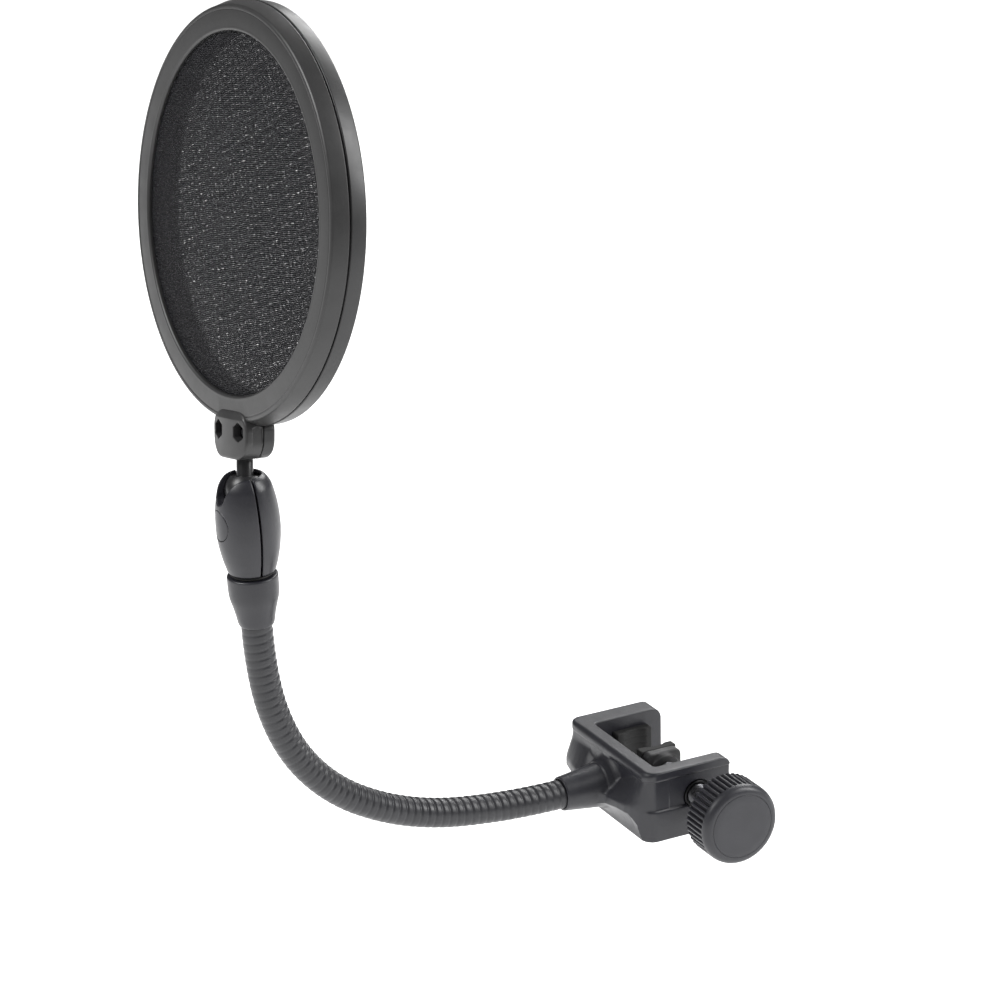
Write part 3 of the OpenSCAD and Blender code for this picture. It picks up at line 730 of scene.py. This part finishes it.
# ---------------------------------------------------------------- clamp screw
SCREW_TIP = box_mm("clamp_screw")[0][0]
PITCH_S = 1.25


def screw_mesh():
    n = 48
    phi = np.arange(n) * 2 * math.pi / n
    x_tip, x_sh, x_end = SCREW_TIP, PHI[0] + 0.35, KLO[0] + 5.0
    rings = []

    def ring(x, r):
        r = np.broadcast_to(r, phi.shape)
        rings.append([(r[i] * math.cos(phi[i]), r[i] * math.sin(phi[i]), x) for i in range(n)])
    ring(x_tip, 2.1)
    ring(x_tip + 0.5, 2.58)
    ring(x_sh - 0.01, 2.58)
    ring(x_sh, 3.0)
    step = PITCH_S / 14
    cnt = int((x_end - x_sh) / step)
    for i in range(1, cnt + 1):
        x = x_sh + (x_end - x_sh) * i / cnt
        u = (x / PITCH_S - phi / (2 * math.pi)) % 1.0
        tri = np.clip(np.abs(u - 0.5) * 2 * 1.35 - 0.12, 0, 1)       # 0 on the crest, 1 in the root
        depth = 0.72 * tri
        grow = min(1.0, (x - x_sh) / 1.2)
        ring(x, 3.95 - depth * grow - 0.5 * (1 - grow))
    ring(x_end + 0.01, 3.0)
    return loft(rings)


v, f = screw_mesh()
screw = make("clamp_thread", v, f, M_X, True, 70)

# ---------------------------------------------------------------- knob
RIBS = 46
DISC_R = 11.3


def knob_mesh():
    per = 16
    n = RIBS * per
    phi = np.arange(n) * 2 * math.pi / n
    u = np.abs(((np.arange(n) / per) % 1.0) - 0.5) * 2                # 0 mid-rib, 1 mid-groove
    g = np.clip((u - 0.42) / 0.3, 0, 1)
    g = g * g * (3 - 2 * g)                                            # the groove's cross-section
    crest = 0.12 * np.clip(u / 0.5, 0, 1) ** 2
    x0, x1 = KLO[0], KHI[0]
    xb = x1 - 3.1
    body = [(5.2, x0 + 1.2, 0), (5.6, x0 + 0.1, 0), (6.0, x0, 0), (12.5, x0, 0), (13.1, x0 + 0.12, 0.4),
            (13.8, x0 + 0.5, 0.8), (14.15, x0 + 1.0, 1), (KNOB_R, x0 + 1.5, 1), (KNOB_R, x0 + 3, 1),
            (KNOB_R, x0 + 5, 1), (KNOB_R, xb - 0.9, 1), (KNOB_R, xb - 0.45, 0.92),
            (KNOB_R - 0.01, xb - 0.15, 0.5), (KNOB_R - 0.03, xb + 0.05, 0.12),
            (KNOB_R - 0.06, xb + 0.25, 0)]
    body += [(r, x, 0) for r, x in arc(KNOB_R - 2.85, x1 - 2.85, 2.75, 8, 80, 10)]
    rc = DISC_R
    body += [(rc + 0.1, x1 - 0.1, 0), (rc + 0.03, x1 - 0.2, 0)]
    body += [(rc + 0.03, x1 - 1.58, 0), (5.2, x1 - 1.6, 0)]
    verts, rows = [], []
    for r, x, k in body:
        rows.append(len(verts))
        rad = r - k * (0.95 * g + crest)
        for i in range(n):
            verts.append((rad[i] * math.cos(phi[i]), rad[i] * math.sin(phi[i]), x))
    faces = []
    m = len(body)
    for j in range(m):
        a, b = rows[j], rows[(j + 1) % m]
        for i in range(n):
            k = (i + 1) % n
            faces.append((a + i, a + k, b + k, b + i))
    return verts, faces


v, f = knob_mesh()
knob = make("knob_grip", v, f, M_X, True, 50)
x1 = KHI[0]
v, f = lathe([(0, x1 - 1.55), (DISC_R - 0.2, x1 - 1.55), (DISC_R, x1 - 1.4), (DISC_R, x1 - 0.3)]
             + arc(DISC_R - 0.14, x1 - 0.2, 0.14, 0, 84, 4)
             + [(8.5, x1 - 0.03), (6.0, x1 - 0.015), (3.0, x1 - 0.003), (0, x1)], 128)
knob_disc = make("knob_disc", v, f, M_X, True, 35)


# ---------------------------------------------------------------- materials
def mat_new(name):
    m = bpy.data.materials.new(name)
    m.use_nodes = True
    nt = m.node_tree
    return m, nt, nt.nodes["Principled BSDF"]


def noise(nt, scale, detail=3.0, rough=0.55, vec=None):
    n = nt.nodes.new("ShaderNodeTexNoise")
    n.inputs["Scale"].default_value = scale
    n.inputs["Detail"].default_value = detail
    n.inputs["Roughness"].default_value = rough
    if vec is not None:
        nt.links.new(vec, n.inputs["Vector"])
    return n


def coords(nt):
    return nt.nodes.new("ShaderNodeTexCoord").outputs["Object"]


def ramp(nt, fac, c0, c1, p0=0.35, p1=0.65):
    r = nt.nodes.new("ShaderNodeValToRGB")
    r.color_ramp.elements[0].position = p0
    r.color_ramp.elements[1].position = p1
    r.color_ramp.elements[0].color = (*c0, 1)
    r.color_ramp.elements[1].color = (*c1, 1)
    nt.links.new(fac, r.inputs["Fac"])
    return r.outputs["Color"]


def maprange(nt, fac, a, b, lo=0.3, hi=0.7):
    n = nt.nodes.new("ShaderNodeMapRange")
    n.inputs["From Min"].default_value = lo
    n.inputs["From Max"].default_value = hi
    n.inputs["To Min"].default_value = a
    n.inputs["To Max"].default_value = b
    nt.links.new(fac, n.inputs["Value"])
    return n.outputs["Result"]


def bump(nt, height, strength, dist, into=None):
    b = nt.nodes.new("ShaderNodeBump")
    b.inputs["Strength"].default_value = strength
    b.inputs["Distance"].default_value = dist
    nt.links.new(height, b.inputs["Height"])
    if into is not None:
        nt.links.new(into, b.inputs["Normal"])
    return b.outputs["Normal"]


def moulded(name, base, rough, grain=2600.0, depth=0.00004, strength=0.5, spread=0.16, wave=0.05, spec=0.5):
    """Moulded plastic: faint cloudiness in colour and gloss, and a spark-eroded grain."""
    m, nt, bs = mat_new(name)
    c = coords(nt)
    cloud = noise(nt, 55.0, 4.0, 0.6, c)
    lo = tuple(x * (1 - spread) for x in base)
    hi = tuple(x * (1 + spread) for x in base)
    nt.links.new(ramp(nt, cloud.outputs["Fac"], lo, hi, 0.3, 0.7), bs.inputs["Base Color"])
    patch = noise(nt, 140.0, 3.0, 0.6, c)
    nt.links.new(maprange(nt, patch.outputs["Fac"], rough - wave, rough + wave), bs.inputs["Roughness"])
    bs.inputs["Specular IOR Level"].default_value = spec
    fine = noise(nt, grain, 2.0, 0.6, c)
    broad = noise(nt, grain * 0.28, 2.0, 0.5, c)
    n1 = bump(nt, broad.outputs["Fac"], strength * 0.6, depth * 2)
    nt.links.new(bump(nt, fine.outputs["Fac"], strength, depth, n1), bs.inputs["Normal"])
    return m


def metal(name, base, rough, axis=None, spread=0.2):
    m, nt, bs = mat_new(name)
    bs.inputs["Metallic"].default_value = 1.0
    c = coords(nt)
    mp = nt.nodes.new("ShaderNodeMapping")
    mp.inputs["Scale"].default_value = axis or (1, 1, 1)
    nt.links.new(c, mp.inputs["Vector"])
    n = noise(nt, 900.0, 3.0, 0.6, mp.outputs["Vector"])
    lo = tuple(x * (1 - spread) for x in base)
    hi = tuple(min(1, x * (1 + spread)) for x in base)
    nt.links.new(ramp(nt, n.outputs["Fac"], lo, hi), bs.inputs["Base Color"])
    nt.links.new(maprange(nt, n.outputs["Fac"], rough - 0.08, rough + 0.1), bs.inputs["Roughness"])
    nt.links.new(bump(nt, n.outputs["Fac"], 0.25, 0.00003), bs.inputs["Normal"])
    return m


def gauze_material(name, pitch, turn, wander, soft):
    """Woven nylon gauze in the disc's own plane: threads with open holes between them, a little uneven."""
    m, nt, bs = mat_new(name)
    c = coords(nt)
    L = nt.links

    def dot(vec):
        n = nt.nodes.new("ShaderNodeVectorMath")
        n.operation = "DOT_PRODUCT"
        n.inputs[1].default_value = vec
        L.new(c, n.inputs[0])
        return n.outputs["Value"]

    def calc(op, a, b=None):
        n = nt.nodes.new("ShaderNodeMath")
        n.operation = op
        for i, q in enumerate((a, b)):
            if q is None:
                continue
            if isinstance(q, (int, float)):
                n.inputs[i].default_value = q
            else:
                L.new(q, n.inputs[i])
        return n.outputs["Value"]

    ca, sa = math.cos(math.radians(turn)), math.sin(math.radians(turn))
    u = dot(tuple(HOOP_X * ca + HOOP_Y * sa))
    w = dot(tuple(HOOP_Y * ca - HOOP_X * sa))
    # the weave wanders a little, which breaks up the bands where two layers cross
    drift = noise(nt, wander, 2.0, 0.5, c)
    off = calc("MULTIPLY", drift.outputs["Fac"], 2 * math.pi * 1.5)
    tu = calc("SINE", calc("ADD", calc("MULTIPLY", u, 2 * math.pi / pitch), off))
    tw = calc("SINE", calc("ADD", calc("MULTIPLY", w, 2 * math.pi / pitch), off))
    gu = maprange(nt, tu, 0.0, 1.0, -1.0, 1.0)
    gw = maprange(nt, tw, 0.0, 1.0, -1.0, 1.0)
    hole = calc("POWER", calc("MULTIPLY", gu, gw), soft)
    # uneven threads: short streaks along both ways of the weave
    stretch = nt.nodes.new("ShaderNodeCombineXYZ")
    L.new(calc("MULTIPLY", u, 900.0), stretch.inputs["X"])
    L.new(calc("MULTIPLY", w, 1500.0), stretch.inputs["Y"])
    streak = noise(nt, 1.0, 2.0, 0.7, stretch.outputs["Vector"])
    fleck = maprange(nt, streak.outputs["Fac"], 0.3, 2.0, 0.42, 0.7)
    open_ = calc("MULTIPLY", hole, fleck)
    L.new(calc("SUBTRACT", 1.0, open_), bs.inputs["Alpha"])
    L.new(ramp(nt, fleck, (0.004, 0.004, 0.005), (0.016, 0.016, 0.018), 0.4, 1.0), bs.inputs["Base Color"])
    bs.inputs["Roughness"].default_value = 0.6
    bs.inputs["Specular IOR Level"].default_value = 0.12
    L.new(bump(nt, hole, 0.4, 0.00008), bs.inputs["Normal"])
    return m


MAT = {
    # both shells are one plastic: the front shell's colour is painted lighter as painted light, and the
    # rear shell's darker as painted shade
    "hoop_front": moulded("hoop_front", (0.019, 0.0188, 0.019), 0.40, 1500.0, 0.00003, 0.26, 0.12, 0.04),
    "hoop_rear": moulded("hoop_rear", (0.009, 0.009, 0.0095), 0.40, 1500.0, 0.00002, 0.2, 0.12, 0.04),
    "gauze_a": gauze_material("gauze_a", 0.00062, 0.0, 70.0, 0.6),
    "gauze_b": gauze_material("gauze_b", 0.00066, 13.0, 110.0, 0.6),
    "spacer": moulded("spacer", (0.010, 0.010, 0.010), 0.5),
    "stem": moulded("stem", (0.010, 0.010, 0.011), 0.33, 900.0, 0.00002, 0.2, 0.15, 0.06),
    "socket": moulded("socket", (0.0105, 0.0105, 0.0140), 0.38, 2300.0, 0.00004, 0.5, 0.14, 0.05),
    "washer": moulded("washer", (0.004, 0.004, 0.004), 0.7),
    "collar": moulded("collar", (0.0105, 0.0105, 0.0140), 0.38, 2300.0, 0.00004, 0.5, 0.14, 0.05),
    "sleeve": moulded("sleeve", (0.014, 0.0141, 0.0168), 0.42, 1800.0, 0.00003, 0.4, 0.14, 0.06),
    "clamp": moulded("clamp", (0.0135, 0.0137, 0.0178), 0.40, 2300.0, 0.00005, 0.55, 0.12, 0.05),
    "pad": moulded("pad", (0.008, 0.008, 0.008), 0.75, 2000.0, 0.00005, 0.7),
    "foot": moulded("foot", (0.013, 0.013, 0.014), 0.5),
    "knob": moulded("knob", (0.0145, 0.0147, 0.0188), 0.42, 2300.0, 0.00004, 0.5, 0.12, 0.05),
    "steel": metal("steel", (0.42, 0.42, 0.43), 0.35, (1, 1, 6)),
    "dark_steel": metal("dark_steel", (0.09, 0.09, 0.095), 0.36, (6, 1, 1)),
    # steel painted almost black for the threaded bush: painted shade for the shadow behind the knob
    "bush_steel_painted_shade": metal("bush_steel_painted_shade", (0.025, 0.025, 0.026), 0.42),
    # steel painted almost black for the tab's nuts: painted shade for the depth of their hex pockets
    "nut_steel_painted_shade": metal("nut_steel_painted_shade", (0.006, 0.006, 0.0065), 0.72),
    "core": metal("core", (0.25, 0.25, 0.26), 0.4),
}


def paint(o, key):
    o.data.materials.clear()
    o.data.materials.append(MAT[key])


def paint_node(node, key):
    o = frame["nodes"][node]
    if not o.material_slots:
        o.data.materials.append(MAT[key])
    for s in o.material_slots:
        s.material = MAT[key]


def place(o, body, key, slot, *nodes):
    paint(o, key)
    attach(o, body)
    if nodes:
        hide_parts(*nodes)


place(hoop_front, "head", "hoop_front", "hoop_front", "front_hoop")
place(hoop_rear, "head", "hoop_rear", "hoop_rear", "rear_hoop")
place(screen_front, "head", "gauze_a", "mesh", "front_mesh")
place(screen_rear, "head", "gauze_b", "mesh", "rear_mesh")
place(stem, "head", "stem", "stem", "stem")
place(socket_a, "socket", "socket", "socket", "socket_front")
place(socket_b, "socket", "socket", "socket", "socket_rear")
place(cap, "socket", "socket", "socket", "socket_cap")
place(washer, "neck_8", "washer", "washer", "swivel_washer")
place(collar, "neck_8", "collar", "collar", "collar")
place(clamp, "clamp", "clamp", "clamp", "clamp_body")
place(jaw_pad, "clamp", "pad", "pad", "jaw_pad")
place(insert, "clamp", "bush_steel_painted_shade", "insert", "thread_insert")
place(foot_pad, "foot", "pad", "pad", "foot_pad")
place(foot, "foot", "foot", "foot", "pressure_foot")
place(screw, "knob", "dark_steel", "screw", "clamp_screw")
place(knob, "knob", "knob", "knob", "knob")
place(knob_disc, "knob", "knob", "knob", "knob_cap")

for k in range(7):
    o = sleeves[k]
    paint(o, "sleeve")
    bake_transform(o)
    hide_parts("neck_sleeve_%d" % (k + 1))
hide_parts("neck_sleeve_8")

for node, key in (("mesh_spacer", "spacer"), ("tab_screws", "dark_steel"), ("tab_nuts", "nut_steel_painted_shade"),
                  ("ball", "stem"), ("socket_screw", "steel"), ("socket_nut", "steel"),
                  ("upper_ferrule", "steel"), ("lower_ferrule", "steel"),
                  ("foot_clip", "steel")):
    paint_node(node, key)
for k in range(1, 9):
    paint_node("neck_core_%d" % k, "core")

# ---------------------------------------------------------------- floor, lights, camera
FLOOR_Z = -0.078


def floor():
    me = bpy.data.meshes.new("floor")
    corners = [(-6, -6, FLOOR_Z), (6, -6, FLOOR_Z), (6, 6, FLOOR_Z), (-6, 6, FLOOR_Z)]
    me.from_pydata(corners, [], [(0, 1, 2, 3)])
    o = bpy.data.objects.new("floor", me)
    COLLECTION.objects.link(o)
    m, nt, bs = mat_new("floor")
    bs.inputs["Base Color"].default_value = (0.86, 0.86, 0.86, 1)
    bs.inputs["Roughness"].default_value = 0.9
    bs.inputs["Specular IOR Level"].default_value = 0.1
    o.data.materials.append(m)


floor()

world = bpy.context.scene.world or bpy.data.worlds.new("world")
bpy.context.scene.world = world
world.use_nodes = True
bg = world.node_tree.nodes["Background"]
bg.inputs["Color"].default_value = (1, 1, 1, 1)
# a white room, with a dimmer mirror image in glossy surfaces than the light it sheds
_path = world.node_tree.nodes.new("ShaderNodeLightPath")
_dim = world.node_tree.nodes.new("ShaderNodeMapRange")
_dim.inputs["To Min"].default_value = 1.0
_dim.inputs["To Max"].default_value = 0.13
world.node_tree.links.new(_path.outputs["Is Glossy Ray"], _dim.inputs["Value"])
world.node_tree.links.new(_dim.outputs["Result"], bg.inputs["Strength"])

CAM_RIGHT = V((0.46405, 0.88552, -0.02251))
CAM_UP = V((-0.298605, 0.180305, 0.93719))
CAM_BACK = V((0.83396, -0.42819, 0.34809))
CAM_POS = V((0.919305, -0.526717, 0.491383))


def area(name, where, size, power, target=(0, -0.08, 0.12), color=(1, 1, 1)):
    L = bpy.data.lights.new(name, "AREA")
    L.shape = "RECTANGLE"
    L.size, L.size_y = size
    L.energy = power
    L.color = color
    o = bpy.data.objects.new(name, L)
    COLLECTION.objects.link(o)
    o.location = where
    d = Vector(target) - Vector(where)
    o.rotation_euler = d.to_track_quat("-Z", "Y").to_euler()
    return o


def view_dir(right, up, back):
    """A point given along the camera's own axes, seen from the middle of the object."""
    return tuple(V((0, -0.08, 0.12)) + CAM_RIGHT * right + CAM_UP * up + CAM_BACK * back)


area("key", view_dir(-1.0, 0.9, 0.7), (0.7, 0.7), 20)
area("side", view_dir(1.25, 0.75, 0.45), (0.35, 1.0), 20)
area("back", view_dir(0.5, 1.2, -0.8), (0.9, 0.5), 14)

cam = bpy.data.cameras.new("camera")
cam.sensor_width = 36.0
cam.sensor_fit = "HORIZONTAL"
cam.lens = 118.8
cam.clip_start, cam.clip_end = 0.05, 50
co = bpy.data.objects.new("camera", cam)
COLLECTION.objects.link(co)
r = Matrix((tuple(CAM_RIGHT), tuple(CAM_UP), tuple(CAM_BACK))).transposed().to_4x4()
r.translation = Vector(CAM_POS)
co.matrix_world = r
bpy.context.scene.camera = co
bpy.context.scene.view_settings.view_transform = "Standard"
